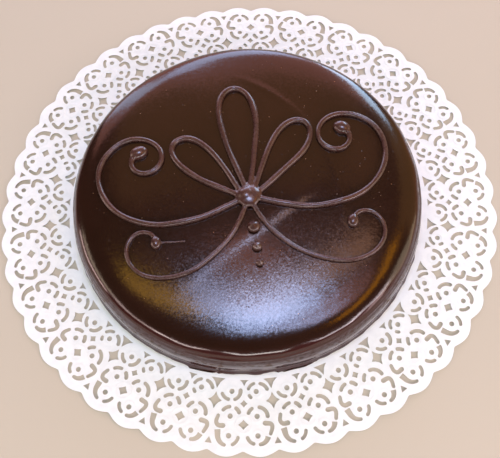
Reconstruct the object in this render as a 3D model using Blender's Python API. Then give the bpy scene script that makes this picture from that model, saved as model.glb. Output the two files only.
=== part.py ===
"""A chocolate-glazed torte with a piped chocolate flourish, standing on a round lace paper.

Metres, +Z up. The origin lies under the middle of the lace paper, on the surface that it rests on.
The camera side of the cake, its front, faces -Y.
"""

from math import atan2, ceil, cos, hypot, pi, radians, sin

import bmesh
import bpy
from mathutils import Matrix, Vector

# Driving dimensions
LACE_RADIUS = 0.1800  # to the tips of the scallops
LACE_THICKNESS = 0.0010  # of the embossed paper, lying flat
CAKE_RADIUS = 0.1250  # at its foot
CAKE_HEIGHT = 0.0345  # from the paper to the crown of the dome
CAKE_PLACE = (-0.0003, -0.0017)  # its middle: it was set down a little off the middle of the paper
GAP = 0.0003  # left between touching pieces

# The cake's section
CAKE_FOOT = LACE_THICKNESS + GAP
CROWN_DROP = 0.0052  # how far the dome falls from its middle to the shoulder
CROWN_RADIUS = 0.1110  # where the dome meets the shoulder
CROWN_POWER = 2.9  # over 2, so the middle of the dome is nearly level
SHOULDER_STEPS = 5
SIDE_INSET = 0.0011  # the side stands that far inside the foot, where the glaze is thinner
TOE_OUT = 0.0007  # and the glaze gathers in a low toe where it ran down to the paper
TOE_HEIGHT = 0.0030
CAKE_SIDES = 72
CROWN_RINGS = 7
UNEVEN = ((2, 1.1, 0.0006), (3, 0.4, 0.0005), (5, 2.0, 0.0003))  # waves round, phase, depth

# The lace: a ring of medallions, each with two scallops outside it
MEDALLIONS = 24
SECTOR = 2 * pi / MEDALLIONS
LACE_TURN = radians(-94.5)  # the middle of the first medallion
SCALLOP_DEPTH = 0.0034
SCALLOP_STEPS = 4
MEDALLION_R = 0.1600
STAR_R = 0.1451
RIM_TRIANGLE_R = 0.1725
INNER_TRIANGLE_R = 0.1304

# The piped flourish, as widths of the chocolate line
LEAF_LINE = 0.0041
SCROLL_LINE = 0.0036
SWASH_LINE = 0.0028
LINE_RISE = 0.85  # height of a line over its width
LINE_SIDES = 5
STEP_SHORT, STEP_LONG = 0.0020, 0.0070  # between rings, in a tight curl and on an easy bend
BEND_SHARE = 0.45  # of the bend's radius, for the steps between those two
FLOURISH_TURN = radians(5)  # it was piped a little askew
DROP_FLATNESS = 0.72  # height of a drop over its width
KNOT_PLACE = (0.0004, -0.0122)  # where the lines of the flourish meet
KNOT_SIZE, KNOT_FLATNESS = 0.0080, 0.38
BEAD_SIZES = (0.0042, 0.0034, 0.0027)
BEAD_START = 0.0230  # from the knot to the first bead
BEAD_SPACING = 3.3  # times the bead's size, to the next one


# ---------------------------------------------------------------- small helpers


def clear_scene():
    for old in list(bpy.data.objects):
        bpy.data.objects.remove(old, do_unlink=True)


def material(name, colour, roughness, coat=0.0):
    made = bpy.data.materials.new(name)
    made.use_nodes = True
    shader = made.node_tree.nodes["Principled BSDF"]
    shader.inputs["Base Color"].default_value = (*colour, 1.0)
    shader.inputs["Roughness"].default_value = roughness
    shader.inputs["Metallic"].default_value = 0.0
    shader.inputs["Coat Weight"].default_value = coat
    return made


def node(name, bm, finish, smooth_angle=radians(40)):
    """Turns a bmesh into a named object with its own material, shaded smooth over its soft edges."""
    bmesh.ops.recalc_face_normals(bm, faces=bm.faces)
    mesh = bpy.data.meshes.new(name)
    bm.to_mesh(mesh)
    bm.free()
    mesh.materials.append(finish)
    mesh.shade_smooth()
    mesh.set_sharp_from_angle(angle=smooth_angle)
    made = bpy.data.objects.new(name, mesh)
    bpy.context.scene.collection.objects.link(made)
    return made


# ---------------------------------------------------------------- the glazed torte


def crown_height(r):
    """Height of the glaze on the dome, r from the middle."""
    return CAKE_FOOT + CAKE_HEIGHT - CROWN_DROP * (r / CROWN_RADIUS) ** CROWN_POWER


def torte_section():
    """(radius, height) from the middle of the top, over the shoulder and down the side to the foot."""
    section = [(CROWN_RADIUS * i / CROWN_RINGS, 0) for i in range(CROWN_RINGS)]
    section = [(r, crown_height(r)) for r, _ in section]
    slope = atan2(CROWN_DROP * CROWN_POWER, CROWN_RADIUS)
    side_r = CAKE_RADIUS - SIDE_INSET
    shoulder_r = (side_r - CROWN_RADIUS) / (1 - sin(slope))
    centre_r = side_r - shoulder_r
    centre_z = crown_height(CROWN_RADIUS) - shoulder_r * cos(slope)
    for i in range(SHOULDER_STEPS + 1):
        a = (pi / 2 - slope) * (1 - i / SHOULDER_STEPS)
        section.append((centre_r + shoulder_r * cos(a), centre_z + shoulder_r * sin(a)))
    middle_z = (CAKE_FOOT + TOE_HEIGHT + centre_z) / 2
    section += [
        (side_r, middle_z),
        (CAKE_RADIUS - SIDE_INSET / 2, CAKE_FOOT + TOE_HEIGHT),
        (CAKE_RADIUS + TOE_OUT, CAKE_FOOT + TOE_HEIGHT / 3),
        (CAKE_RADIUS, CAKE_FOOT),
        (0.0, CAKE_FOOT),
    ]
    return section


def torte(finish):
    bm = bmesh.new()
    line = [bm.verts.new((r, 0, z)) for r, z in torte_section()]
    edges = [bm.edges.new(pair) for pair in zip(line, line[1:])]
    bmesh.ops.spin(
        bm,
        geom=line + edges,
        axis=(0, 0, 1),
        cent=(0, 0, 0),
        steps=CAKE_SIDES,
        angle=2 * pi,
        use_merge=True,
    )
    bmesh.ops.remove_doubles(bm, verts=bm.verts, dist=1e-6)
    for v in bm.verts:
        r = hypot(v.co.x, v.co.y)
        if r < 1e-6:
            continue
        a = atan2(v.co.y, v.co.x)
        share = (r / CAKE_RADIUS) ** 4  # the unevenness is in the side, not in the middle
        grow = 1 + share * sum(d * sin(k * a + p) for k, p, d in UNEVEN) / r
        v.co.x *= grow
        v.co.y *= grow
    bmesh.ops.translate(bm, vec=(*CAKE_PLACE, 0), verts=bm.verts)
    return node("glazed_torte", bm, finish)


# ---------------------------------------------------------------- the lace paper


def scalloped_rim():
    steps = 2 * MEDALLIONS * SCALLOP_STEPS
    points = []
    for i in range(steps):
        a = 2 * pi * i / steps
        lobe = abs(sin(MEDALLIONS * a))
        r = LACE_RADIUS - SCALLOP_DEPTH * (1 - lobe)
        points.append((r * cos(a + LACE_TURN), r * sin(a + LACE_TURN)))
    return points


def diamond(half_width, half_height, pinch=1.0):
    """Four corners, with each side pulled in to pinch times where a straight one would pass."""
    corners = [(half_width, 0), (0, half_height), (-half_width, 0), (0, -half_height)]
    if pinch == 1.0:
        return corners
    outline = []
    for (x0, y0), (x1, y1) in zip(corners, corners[1:] + corners[:1]):
        outline += [(x0, y0), (pinch * (x0 + x1) / 2, pinch * (y0 + y1) / 2)]
    return outline


def triangle(half_width, height):
    """Its level side through the origin, its point outwards, or inwards where height is negative."""
    return [(-half_width, 0), (half_width, 0), (0, height)]


def curved_slot(radius, start, end, width_start, width_end, steps=2):
    """A slot bent round the origin, between two directions in degrees."""
    outer, inner = [], []
    for i in range(steps + 1):
        t = i / steps
        a = radians(start + (end - start) * t)
        half = (width_start + (width_end - width_start) * t) / 2
        outer.append(((radius + half) * cos(a), (radius + half) * sin(a)))
        inner.append(((radius - half) * cos(a), (radius - half) * sin(a)))
    return outer + inner[::-1]


def placed(outline, turn, radius):
    """The outline in the sheet, its +Y pointing outwards, at a radius and a turn from the first medallion."""
    a = LACE_TURN + turn
    out, along = Vector((cos(a), sin(a))), Vector((-sin(a), cos(a)))
    return [out * (radius + y) + along * x for x, y in outline]


# The larger perforations of one medallion: turn as a share of the sector, radius, outline
PERFORATIONS = (
    (0.0, MEDALLION_R, diamond(0.0035, 0.0032)),
    (0.5, STAR_R, diamond(0.0046, 0.0056, pinch=0.77)),
    (0.5, RIM_TRIANGLE_R, triangle(0.0023, -0.0040)),
    (0.5, INNER_TRIANGLE_R, triangle(0.0046, 0.0069)),
    (-0.217, 0.1670, curved_slot(0.0066, 112, 194, 0.0022, 0.0038)),
    (0.217, 0.1670, curved_slot(0.0061, 6, 74, 0.0035, 0.0023)),
)


def lace_paper(finish):
    sheet = bpy.data.curves.new("lace_paper", "CURVE")
    sheet.dimensions = "2D"
    sheet.fill_mode = "BOTH"
    sheet.extrude = LACE_THICKNESS / 2
    outlines = [scalloped_rim()]
    for i in range(MEDALLIONS):
        for share, radius, outline in PERFORATIONS:
            outlines.append(placed(outline, (i + share) * SECTOR, radius))
    for outline in outlines:
        spline = sheet.splines.new("POLY")
        spline.points.add(len(outline) - 1)
        for point, (x, y) in zip(spline.points, outline):
            point.co = (x, y, 0, 1)
        spline.use_cyclic_u = True
    sheet.materials.append(finish)
    made = bpy.data.objects.new("lace_paper", sheet)
    made.location.z = LACE_THICKNESS / 2
    bpy.context.scene.collection.objects.link(made)
    return made


# ---------------------------------------------------------------- the piped flourish


def pen_scroll(start, heading, bends):
    """A pen line that starts at a point and heading, in degrees, and bends as it goes.

    Each bend is (length, first curvature, last curvature), in metres and 1/metres.
    Steps are short where the line curls and long where it runs easily.
    """
    x, y = start
    turn = radians(heading)
    line = [(x, y)]
    for length, first, last in bends:
        tightest = 1 / max(abs(first), abs(last))
        step = min(max(BEND_SHARE * tightest, STEP_SHORT), STEP_LONG)
        count = ceil(length / step)
        ds = length / count
        for i in range(count):
            bend = first + (last - first) * (i + 0.5) / count
            turn += bend * ds / 2
            x += cos(turn) * ds
            y += sin(turn) * ds
            turn += bend * ds / 2
            line.append((x, y))
    return line


def leaf_loop(base, axis, length, width, steps=22):
    """A closed leaf-shaped loop that stands on base and points along axis, in degrees."""
    foot = 0.0032  # half the width of its rounded foot
    a = radians(axis)
    line = []
    for i in range(steps):
        t = 2 * pi * (i + 0.5) / steps
        tip = (1 - cos(t)) / 2
        along = length * tip
        across = sin(t) * (0.775 * width * tip + foot * (1 - tip))
        line.append((base[0] + along * cos(a) - across * sin(a), base[1] + along * sin(a) + across * cos(a)))
    return line


def mirrored(line):
    return [(-x, y) for x, y in line]


def askew(x, y):
    """Where a point of the upright flourish ends up on the cake once it is turned."""
    c, s = cos(FLOURISH_TURN), sin(FLOURISH_TURN)
    return x * c - y * s, x * s + y * c


def flourish_lines():
    """(name, line, closed, width at its start, width at its end, size of its end drop)."""
    upper_right = pen_scroll(
        (0.004, -0.013),
        -24,
        ((0.046, 2, 14), (0.062, 14, 26), (0.060, 26, 44), (0.050, 44, 100), (0.018, 100, 120)),
    )
    upper_left = pen_scroll(
        (0.004, -0.013),
        -20,
        ((0.048, 1, 14), (0.060, 14, 26), (0.062, 26, 44), (0.048, 44, 100), (0.020, 100, 130)),
    )
    lower_right = pen_scroll(
        (0.002, -0.016),
        -74,
        ((0.032, 14, 12), (0.044, 12, 20), (0.036, 20, 50), (0.030, 50, 105), (0.009, 105, 130)),
    )
    lower_left = pen_scroll(
        (0.002, -0.016),
        -70,
        ((0.032, 16, 12), (0.042, 12, 22), (0.034, 22, 50), (0.030, 50, 105), (0.011, 105, 140)),
    )
    return (
        ("leaf_middle", leaf_loop((0.0008, -0.0090), 89, 0.087, 0.024), True, LEAF_LINE, LEAF_LINE, 0),
        ("leaf_right", leaf_loop((0.0046, -0.0106), 50, 0.068, 0.021), True, LEAF_LINE, LEAF_LINE, 0),
        ("leaf_left", leaf_loop((-0.0042, -0.0104), 129, 0.064, 0.021), True, LEAF_LINE, LEAF_LINE, 0),
        ("scroll_right", upper_right, False, LEAF_LINE, SCROLL_LINE, 0.0043),
        ("scroll_left", mirrored(upper_left), False, LEAF_LINE, SCROLL_LINE, 0.0041),
        ("swash_right", lower_right, False, SCROLL_LINE, SWASH_LINE, 0.0037),
        ("swash_left", mirrored(lower_left), False, SCROLL_LINE, SWASH_LINE, 0.0039),
    )


def on_glaze(x, y):
    """The point over (x, y) from the cake's middle, clear of the dome by the gap, and the dome's normal."""
    r = hypot(x, y)
    fall = CROWN_DROP * CROWN_POWER / CROWN_RADIUS * (r / CROWN_RADIUS) ** (CROWN_POWER - 1)
    normal = Vector((fall * x / r, fall * y / r, 1)).normalized() if r > 1e-9 else Vector((0, 0, 1))
    place = Vector((CAKE_PLACE[0] + x, CAKE_PLACE[1] + y, crown_height(r)))
    return place + normal * GAP, normal


def piped_line(line, closed, width_start, width_end):
    """A chocolate line along the path: a ring of points for each step, joined ring to ring."""
    bm = bmesh.new()
    rings = []
    count = len(line)
    for i, (x, y) in enumerate(line):
        ahead = line[(i + 1) % count] if closed else line[min(i + 1, count - 1)]
        behind = line[i - 1] if closed else line[max(i - 1, 0)]
        foot, up = on_glaze(x, y)
        along = Vector((ahead[0] - behind[0], ahead[1] - behind[1], 0)).normalized()
        side = along.cross(up).normalized()
        width = width_start + (width_end - width_start) * i / (count - 1)
        half, rise = width / 2, LINE_RISE * width / 2
        ring = []
        for k in range(LINE_SIDES):
            a = 2 * pi * k / LINE_SIDES - pi / 2
            ring.append(bm.verts.new(foot + side * (half * cos(a)) + up * (rise * (1 + sin(a)))))
        rings.append(ring)
    pairs = list(zip(rings, rings[1:])) + ([(rings[-1], rings[0])] if closed else [])
    for ring, following in pairs:
        for k in range(LINE_SIDES):
            j = (k + 1) % LINE_SIDES
            bm.faces.new((ring[k], ring[j], following[j], following[k]))
    if not closed:
        bm.faces.new(rings[0][::-1])
        bm.faces.new(rings[-1])
    return bm


def drop(x, y, size, flatness=DROP_FLATNESS, segments=10, rings=6):
    """A round drop of chocolate, settled a little flat on the glaze."""
    bm = bmesh.new()
    bmesh.ops.create_uvsphere(bm, u_segments=segments, v_segments=rings, radius=size)
    foot, up = on_glaze(x, y)
    squash = Matrix.Diagonal((1, 1, flatness, 1))
    tilt = up.to_track_quat("Z", "Y").to_matrix().to_4x4()
    place = Matrix.Translation(foot + up * size * flatness)
    bmesh.ops.transform(bm, matrix=place @ tilt @ squash, verts=bm.verts)
    return bm


def flourish(finish):
    """All the lines meet in the knot, where the soft chocolate ran together into one piece."""
    strokes = bpy.data.collections.new("strokes")
    bpy.context.scene.collection.children.link(strokes)
    strokes.hide_render = True
    for name, upright, closed, width_start, width_end, end_drop in flourish_lines():
        line = [askew(x, y) for x, y in upright]
        made = [node(name, piped_line(line, closed, width_start, width_end), finish)]
        if end_drop:
            made.append(node(name + "_drop", drop(*line[-1], end_drop), finish))
        for piece in made:
            piece.hide_render = True
            piece.display_type = "WIRE"
            strokes.objects.link(piece)
            bpy.context.scene.collection.objects.unlink(piece)
    knot_shape = drop(*askew(*KNOT_PLACE), KNOT_SIZE, KNOT_FLATNESS, segments=14, rings=7)
    knot = node("piped_flourish", knot_shape, finish)
    joined = knot.modifiers.new("joined", "BOOLEAN")
    joined.operation = "UNION"
    joined.operand_type = "COLLECTION"
    joined.collection = strokes
    return knot


def beads(finish):
    """Loose drops in a row below the knot, each smaller than the last."""
    x, y = KNOT_PLACE
    y -= BEAD_START
    for number, size in enumerate(BEAD_SIZES, start=1):
        node(f"piped_bead_{number}", drop(*askew(x, y), size), finish)
        y -= BEAD_SPACING * size


def build():
    clear_scene()
    glaze = material("glaze", (0.036, 0.016, 0.010), 0.22, coat=0.5)
    piping = material("piping", (0.095, 0.043, 0.032), 0.38)
    paper = material("paper", (0.90, 0.90, 0.92), 0.80)
    torte(glaze)
    lace_paper(paper)
    flourish(piping)
    beads(piping)


build()
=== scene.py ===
# %% [markdown]
# # A glazed torte on its lace paper
#
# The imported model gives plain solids: a low round torte, a flat paper with a few holes, a piped
# flourish and three drops. This lesson dresses them. Everything is in metres, and the cake's front
# faces -Y. Each step says what the thing is on a real cake, and why it is made the way it is.

# %% Load the frame
from math import atan2, ceil, cos, hypot, pi, radians, sin, tan

import bmesh
import bpy
import numpy as np
from mathutils import Matrix, Vector
from mathutils.geometry import delaunay_2d_cdt
from mathutils.kdtree import KDTree


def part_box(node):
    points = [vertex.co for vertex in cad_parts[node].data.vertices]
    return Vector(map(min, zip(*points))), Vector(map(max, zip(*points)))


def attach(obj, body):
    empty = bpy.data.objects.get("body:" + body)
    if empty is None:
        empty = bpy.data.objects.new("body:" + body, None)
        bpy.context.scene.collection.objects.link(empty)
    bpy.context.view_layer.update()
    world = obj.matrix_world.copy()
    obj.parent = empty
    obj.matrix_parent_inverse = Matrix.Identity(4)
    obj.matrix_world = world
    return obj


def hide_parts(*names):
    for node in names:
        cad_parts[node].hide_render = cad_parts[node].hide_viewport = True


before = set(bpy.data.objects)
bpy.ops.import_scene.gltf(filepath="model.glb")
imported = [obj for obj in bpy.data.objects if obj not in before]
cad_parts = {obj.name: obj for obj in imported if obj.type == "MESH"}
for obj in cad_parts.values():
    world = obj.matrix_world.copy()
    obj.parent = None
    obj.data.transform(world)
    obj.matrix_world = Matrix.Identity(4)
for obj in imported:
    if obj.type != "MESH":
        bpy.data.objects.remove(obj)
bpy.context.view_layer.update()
MM = 0.001
print("nodes:", sorted(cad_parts))

# %% [markdown]
# ## The camera
#
# The cake is looked at from above its front edge, by someone who stands at the table and tilts the
# camera down steeply. The camera is placed by a target on the table, a distance and an elevation, and
# is rolled a little, as a hand-held one is. It comes first, so that every later step can be looked at.

# %% Camera
CAMERA_TARGET = Vector((0.0005, -0.0217, 0.001))
CAMERA_DISTANCE = 0.5353
CAMERA_ELEVATION = radians(65.88)
CAMERA_ROLL = radians(4.0)
CAMERA_LENS = 53.5

back = Vector((0, -cos(CAMERA_ELEVATION), sin(CAMERA_ELEVATION)))
right = Vector((1, 0, 0))
up = back.cross(right)
rolled_right = right * cos(CAMERA_ROLL) - up * sin(CAMERA_ROLL)
rolled_up = right * sin(CAMERA_ROLL) + up * cos(CAMERA_ROLL)
camera_data = bpy.data.cameras.new("camera")
camera_data.lens = CAMERA_LENS
camera_data.sensor_width = 36
camera_data.clip_start = 0.01
camera = bpy.data.objects.new("camera", camera_data)
turn = Matrix((rolled_right, rolled_up, back)).transposed().to_4x4()
camera.matrix_world = Matrix.Translation(CAMERA_TARGET + back * CAMERA_DISTANCE) @ turn
bpy.context.scene.collection.objects.link(camera)
bpy.context.scene.camera = camera
print("camera stands at", [round(c, 3) for c in camera.location])

# %% [markdown]
# ## Helpers for shader nodes
#
# A finish is a small net of shader nodes. Two things come back in every finish on this cake: a soft
# mottle, which varies a colour or a roughness, and a fine grain, which roughens a surface. Each is
# built once as a node group with named inputs, and every material places it with its own values.

# %% Shader helpers


def add_node(tree, kind, **settings):
    """A new node in the tree. A setting named after a socket is its value, any other is a property."""
    node = tree.nodes.new(kind)
    for key, value in settings.items():
        if hasattr(node, key):
            setattr(node, key, value)
        else:
            node.inputs[key.replace("_", " ")].default_value = value
    return node


def wire(tree, start, start_socket, end, end_socket):
    tree.links.new(start.outputs[start_socket], end.inputs[end_socket])


def group_with(name, inputs, outputs):
    """A shader node group with its named sockets, and its two end nodes."""
    group = bpy.data.node_groups.new(name, "ShaderNodeTree")
    for label, kind, value in inputs:
        socket = group.interface.new_socket(label, in_out="INPUT", socket_type=kind)
        if value is not None:
            socket.default_value = value
    for label, kind in outputs:
        group.interface.new_socket(label, in_out="OUTPUT", socket_type=kind)
    return group, group.nodes.new("NodeGroupInput"), group.nodes.new("NodeGroupOutput")


def mottle_group():
    """A soft blotchy mask between Low and High."""
    inputs = (
        ("Vector", "NodeSocketVector", None),
        ("Scale", "NodeSocketFloat", 50.0),
        ("Low", "NodeSocketFloat", 0.0),
        ("High", "NodeSocketFloat", 1.0),
    )
    group, start, end = group_with("mottle", inputs, (("Mask", "NodeSocketFloat"),))
    noise = add_node(group, "ShaderNodeTexNoise", Detail=3.0, Roughness=0.55)
    spread = add_node(group, "ShaderNodeMapRange", interpolation_type="SMOOTHSTEP")
    spread.inputs["From Min"].default_value = 0.3
    spread.inputs["From Max"].default_value = 0.7
    wire(group, start, "Vector", noise, "Vector")
    wire(group, start, "Scale", noise, "Scale")
    wire(group, noise, "Fac", spread, "Value")
    wire(group, start, "Low", spread, "To Min")
    wire(group, start, "High", spread, "To Max")
    wire(group, spread, "Result", end, "Mask")
    return group


def grain_group():
    """The height of a fine grain, with a coarser unevenness under it."""
    inputs = (
        ("Vector", "NodeSocketVector", None),
        ("Fine Scale", "NodeSocketFloat", 1000.0),
        ("Coarse Scale", "NodeSocketFloat", 200.0),
        ("Coarse Share", "NodeSocketFloat", 0.5),
    )
    group, start, end = group_with("grain", inputs, (("Height", "NodeSocketFloat"),))
    fine = add_node(group, "ShaderNodeTexNoise", Detail=3.0, Roughness=0.75)
    coarse = add_node(group, "ShaderNodeTexNoise", Detail=2.0, Roughness=0.5)
    mix = add_node(group, "ShaderNodeMix", data_type="FLOAT")
    wire(group, start, "Vector", fine, "Vector")
    wire(group, start, "Vector", coarse, "Vector")
    wire(group, start, "Fine Scale", fine, "Scale")
    wire(group, start, "Coarse Scale", coarse, "Scale")
    wire(group, start, "Coarse Share", mix, "Factor")
    group.links.new(fine.outputs["Fac"], mix.inputs[2])
    group.links.new(coarse.outputs["Fac"], mix.inputs[3])
    group.links.new(mix.outputs[0], end.inputs["Height"])
    return group


def sugar_group():
    """The surface's normal, tipped a little this way and that by fine sugar crystals."""
    inputs = (
        ("Vector", "NodeSocketVector", None),
        ("Scale", "NodeSocketFloat", 1000.0),
        ("Tilt", "NodeSocketFloat", 0.1),
    )
    group, start, end = group_with("sugar", inputs, (("Normal", "NodeSocketVector"),))
    cells = add_node(group, "ShaderNodeTexNoise", Detail=1.5, Roughness=0.6)
    centred = add_node(group, "ShaderNodeVectorMath", operation="SUBTRACT")
    centred.inputs[1].default_value = (0.5, 0.5, 0.5)
    tipped = add_node(group, "ShaderNodeVectorMath", operation="SCALE")
    surface = group.nodes.new("ShaderNodeNewGeometry")
    total = add_node(group, "ShaderNodeVectorMath", operation="ADD")
    unit = add_node(group, "ShaderNodeVectorMath", operation="NORMALIZE")
    wire(group, start, "Vector", cells, "Vector")
    wire(group, start, "Scale", cells, "Scale")
    wire(group, cells, "Color", centred, 0)
    wire(group, centred, "Vector", tipped, 0)
    wire(group, start, "Tilt", tipped, "Scale")
    wire(group, surface, "Normal", total, 0)
    wire(group, tipped, "Vector", total, 1)
    wire(group, total, "Vector", unit, 0)
    wire(group, unit, "Vector", end, "Normal")
    return group


MOTTLE = mottle_group()
GRAIN = grain_group()
SUGAR = sugar_group()


def use_group(tree, group, **values):
    node = tree.nodes.new("ShaderNodeGroup")
    node.node_tree = group
    for key, value in values.items():
        node.inputs[key.replace("_", " ")].default_value = value
    return node


def new_material(name):
    """A material with its Principled shader and the object's own coordinates."""
    made = bpy.data.materials.new(name)
    made.use_nodes = True
    tree = made.node_tree
    place = tree.nodes.new("ShaderNodeTexCoord")
    return made, tree, tree.nodes["Principled BSDF"], place


def two_tone(tree, shader, mask, dark, light):
    """The shader's base colour, from dark where the mask is 0 to light where it is 1."""
    mix = add_node(tree, "ShaderNodeMix", data_type="RGBA")
    mix.inputs[6].default_value = (*dark, 1)
    mix.inputs[7].default_value = (*light, 1)
    wire(tree, mask, "Mask", mix, 0)
    tree.links.new(mix.outputs[2], shader.inputs["Base Color"])


print("shader groups:", MOTTLE.name, GRAIN.name, SUGAR.name)

# %% [markdown]
# ## The glaze's finish
#
# The glaze is chocolate boiled with sugar syrup and poured on warm. It sets nearly black-brown, with a
# silky shine rather than a mirror's: under the thin clear top there are fine sugar crystals, which
# spread a lamp's reflection into a haze full of tiny sparks. So the shader has a moderately rough base
# under a smoother coat, and a grain of about a millimetre tips the surface a few degrees. The crystals
# stay on the level top. On the steep side the warm glaze ran down clear and thin, so there the grain
# and the roughness both fall off with the slope. The base colour there also turns redder: this is a
# painted reflection, standing in for the warm brown that the side mirrors.

# %% Glaze material


def level_share(tree, slope, on_side, on_top):
    """A value that goes from one on the side to another where the glaze lies nearly level."""
    share = add_node(tree, "ShaderNodeMapRange", interpolation_type="SMOOTHSTEP")
    share.inputs["From Min"].default_value = 0.72
    share.inputs["From Max"].default_value = 0.93
    share.inputs["To Min"].default_value = on_side
    share.inputs["To Max"].default_value = on_top
    wire(tree, slope, "Z", share, "Value")
    return share


def glaze_material():
    made, tree, shader, place = new_material("glaze")
    tone = use_group(tree, MOTTLE, Scale=22.0)
    wire(tree, place, "Object", tone, "Vector")
    two_tone(tree, shader, tone, (0.0160, 0.0055, 0.0030), (0.0210, 0.0072, 0.0040))
    faces = tree.nodes.new("ShaderNodeNewGeometry")
    slope = tree.nodes.new("ShaderNodeSeparateXYZ")
    wire(tree, faces, "Normal", slope, "Vector")
    rough = use_group(tree, MOTTLE, Scale=700.0, Low=0.14, High=0.20)
    wire(tree, place, "Object", rough, "Vector")
    settled_rough = add_node(tree, "ShaderNodeMath", operation="MULTIPLY")
    wire(tree, rough, "Mask", settled_rough, 0)
    wire(tree, level_share(tree, slope, 0.65, 1.0), "Result", settled_rough, 1)
    wire(tree, settled_rough, "Value", shader, "Roughness")
    sugar = use_group(tree, SUGAR, Scale=850.0)
    wire(tree, place, "Object", sugar, "Vector")
    wire(tree, level_share(tree, slope, 0.04, 0.13), "Result", sugar, "Tilt")
    # painted reflection: the steep side gets a redder base colour in place of the warm brown it mirrors
    painted_side_reflection = add_node(tree, "ShaderNodeMix", data_type="RGBA")
    painted_side_reflection.inputs[6].default_value = (0.040, 0.0105, 0.0095, 1)
    tree.links.new(shader.inputs["Base Color"].links[0].from_socket, painted_side_reflection.inputs[7])
    wire(tree, level_share(tree, slope, 0, 1), "Result", painted_side_reflection, 0)
    tree.links.new(painted_side_reflection.outputs[2], shader.inputs["Base Color"])
    grain = use_group(tree, GRAIN, Fine_Scale=500.0, Coarse_Scale=240.0, Coarse_Share=0.3)
    wire(tree, place, "Object", grain, "Vector")
    bump = add_node(tree, "ShaderNodeBump", Strength=0.25, Distance=0.00012)
    wire(tree, grain, "Height", bump, "Height")
    wire(tree, sugar, "Normal", bump, "Normal")
    wire(tree, bump, "Normal", shader, "Normal")
    shader.inputs["Specular IOR Level"].default_value = 0.53
    shader.inputs["Coat Weight"].default_value = 0.13
    shader.inputs["Coat Roughness"].default_value = 0.14
    return made


GLAZE = glaze_material()

# %% [markdown]
# ## The piping's finish
#
# The flourish is chocolate that was piped at its setting point. It has no syrup in it, so it dries
# lighter, a little purplish, and satin rather than shiny.

# %% Piping material


def piping_material():
    made, tree, shader, place = new_material("piping")
    tone = use_group(tree, MOTTLE, Scale=90.0)
    wire(tree, place, "Object", tone, "Vector")
    two_tone(tree, shader, tone, (0.047, 0.0187, 0.0156), (0.068, 0.028, 0.0233))
    rough = use_group(tree, MOTTLE, Scale=400.0, Low=0.24, High=0.32)
    wire(tree, place, "Object", rough, "Vector")
    wire(tree, rough, "Mask", shader, "Roughness")
    grain = use_group(tree, GRAIN, Fine_Scale=1400.0, Coarse_Scale=400.0, Coarse_Share=0.3)
    wire(tree, place, "Object", grain, "Vector")
    bump = add_node(tree, "ShaderNodeBump", Strength=0.12, Distance=0.00008)
    wire(tree, grain, "Height", bump, "Height")
    wire(tree, bump, "Normal", shader, "Normal")
    shader.inputs["Coat Weight"].default_value = 0.4
    shader.inputs["Coat Roughness"].default_value = 0.14
    return made


PIPING = piping_material()

# %% [markdown]
# ## The finish of the paper and the specks
#
# Lace paper is thin white kraft paper, pressed between steel plates. It is matt, and its fibres show
# only close up: a faint stretched grain, and a hardly visible cloudiness in the white. The specks in
# the glaze get a plain light brown here, from pale to dark with the place they lie in: partly the
# colour of crumbs and sugar grains, partly painted glints, standing in for the sparks that tiny
# bubbles catch from the lamps.

# %% Paper and speck materials


def paper_material():
    made, tree, shader, place = new_material("paper")
    tone = use_group(tree, MOTTLE, Scale=160.0)
    wire(tree, place, "Object", tone, "Vector")
    two_tone(tree, shader, tone, (0.83, 0.84, 0.87), (0.89, 0.895, 0.92))
    grain = use_group(tree, GRAIN, Fine_Scale=3500.0, Coarse_Scale=900.0, Coarse_Share=0.4)
    wire(tree, place, "Object", grain, "Vector")
    bump = add_node(tree, "ShaderNodeBump", Strength=0.25, Distance=0.00008)
    wire(tree, grain, "Height", bump, "Height")
    wire(tree, bump, "Normal", shader, "Normal")
    shader.inputs["Roughness"].default_value = 0.85
    shader.inputs["Specular IOR Level"].default_value = 0.3
    return made


def speck_and_glint_material():
    made, tree, shader, place = new_material("speck")
    tone = use_group(tree, MOTTLE, Scale=60.0)
    wire(tree, place, "Object", tone, "Vector")
    # partly the specks' own light brown, partly painted glints for the sparks that tiny bubbles catch
    two_tone(tree, shader, tone, (0.11, 0.050, 0.026), (0.30, 0.155, 0.085))
    shader.inputs["Roughness"].default_value = 0.4
    return made


PAPER = paper_material()
SPECK_AND_GLINT = speck_and_glint_material()
print("materials:", GLAZE.name, PIPING.name, PAPER.name, SPECK_AND_GLINT.name)

# %% [markdown]
# ## Helpers for Geometry Nodes
#
# What repeats, or follows a line, is made by Geometry Nodes: the tree is built here in code, with named
# inputs for its sizes. A modifier knows an input by its identifier, so the helper looks that up. The
# result is turned into a plain mesh at once, because only plain meshes leave Blender whole.

# %% Geometry Nodes helpers


def geometry_tree(name, inputs):
    """A Geometry Nodes tree that takes and gives a geometry, with further named inputs."""
    tree = bpy.data.node_groups.new(name, "GeometryNodeTree")
    tree.interface.new_socket("Geometry", in_out="INPUT", socket_type="NodeSocketGeometry")
    for label, kind in inputs:
        tree.interface.new_socket(label, in_out="INPUT", socket_type=kind)
    tree.interface.new_socket("Geometry", in_out="OUTPUT", socket_type="NodeSocketGeometry")
    return tree, tree.nodes.new("NodeGroupInput"), tree.nodes.new("NodeGroupOutput")


def new_object(name, data):
    made = bpy.data.objects.new(name, data)
    bpy.context.scene.collection.objects.link(made)
    return made


def baked(name, source, tree=None, values=None):
    """A plain mesh object of what the source looks like with its modifiers; the source is removed."""
    if tree is not None:
        modifier = source.modifiers.new(tree.name, "NODES")
        modifier.node_group = tree
        for item in tree.interface.items_tree:
            if item.in_out == "INPUT" and item.name in (values or {}):
                modifier[item.identifier] = values[item.name]
    bpy.context.view_layer.update()
    seen = source.evaluated_get(bpy.context.evaluated_depsgraph_get())
    mesh = bpy.data.meshes.new_from_object(seen)
    mesh.name = name
    bpy.data.objects.remove(source, do_unlink=True)
    return new_object(name, mesh)


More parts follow.
